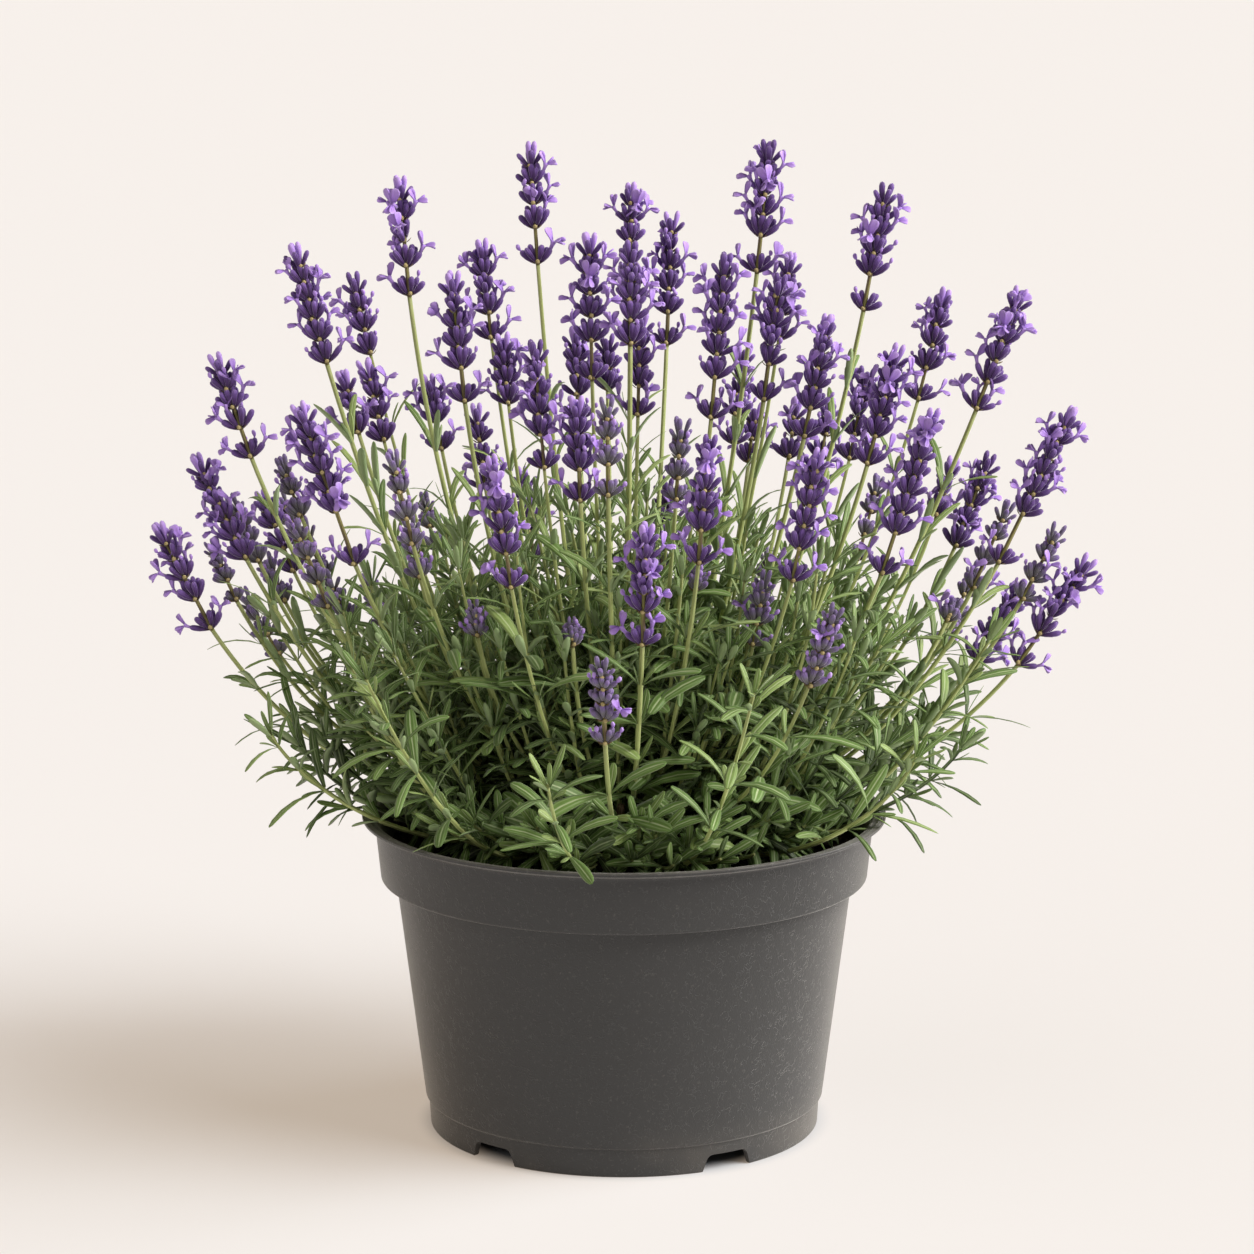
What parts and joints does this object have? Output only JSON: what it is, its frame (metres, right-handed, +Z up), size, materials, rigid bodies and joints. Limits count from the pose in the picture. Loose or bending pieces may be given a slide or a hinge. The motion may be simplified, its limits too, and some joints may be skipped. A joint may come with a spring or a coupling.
{
  "type": "potted lavender",
  "caption": "Full clump of flowering lavender with violet spikes and narrow grey-green leaves, growing in a round dark grey tapered nursery pot with a deep collar.",
  "frame": {"origin": "centre of the pot's foot ring, on the surface that it stands on", "axes": "+Z up along the pot's axis, -Y towards the front of the clump, +X to the viewer's right"},
  "size_m": [0.4152, 0.3468, 0.4343],
  "materials": {
    "pot_plastic": "matte",
    "potting_mix": "matte",
    "crown_wood": "matte",
    "stem_green": "satin",
    "flower_violet": "matte",
    "leaf_green": "matte"
  },
  "bodies": {
    "root": {"pot": "pot_plastic", "potting_soil": "potting_mix", "woody_crown": "crown_wood", "flower_stem_01": "stem_green", "flower_stem_02": "stem_green", "flower_stem_03": "stem_green", "flower_stem_04": "stem_green", "flower_stem_05": "stem_green", "flower_stem_06": "stem_green", "flower_stem_07": "stem_green", "flower_stem_08": "stem_green", "flower_stem_09": "stem_green", "flower_stem_10": "stem_green", "flower_stem_11": "stem_green", "flower_stem_12": "stem_green", "flower_stem_13": "stem_green", "flower_stem_14": "stem_green", "flower_stem_15": "stem_green", "flower_stem_16": "stem_green", "flower_stem_17": "stem_green", "flower_stem_18": "stem_green", "flower_stem_19": "stem_green", "flower_stem_20": "stem_green", "flower_stem_21": "stem_green", "flower_stem_22": "stem_green", "flower_spike_01": "flower_violet", "flower_spike_02": "flower_violet", "flower_spike_03": "flower_violet", "flower_spike_04": "flower_violet", "flower_spike_05": "flower_violet", "flower_spike_06": "flower_violet", "flower_spike_07": "flower_violet", "flower_spike_08": "flower_violet", "flower_spike_09": "flower_violet", "flower_spike_10": "flower_violet", "flower_spike_11": "flower_violet", "flower_spike_12": "flower_violet", "flower_spike_13": "flower_violet", "flower_spike_14": "flower_violet", "flower_spike_15": "flower_violet", "flower_spike_16": "flower_violet", "flower_spike_17": "flower_violet", "flower_spike_18": "flower_violet", "flower_spike_19": "flower_violet", "flower_spike_20": "flower_violet", "flower_spike_21": "flower_violet", "flower_spike_22": "flower_violet", "leafy_shoot_01": "leaf_green", "leafy_shoot_02": "leaf_green", "leafy_shoot_03": "leaf_green", "leafy_shoot_04": "leaf_green", "leafy_shoot_05": "leaf_green", "leafy_shoot_06": "leaf_green", "leafy_shoot_07": "leaf_green", "leafy_shoot_08": "leaf_green", "leafy_shoot_09": "leaf_green", "leafy_shoot_10": "leaf_green", "leafy_shoot_11": "leaf_green", "leafy_shoot_12": "leaf_green"}
  },
  "joints": []
}
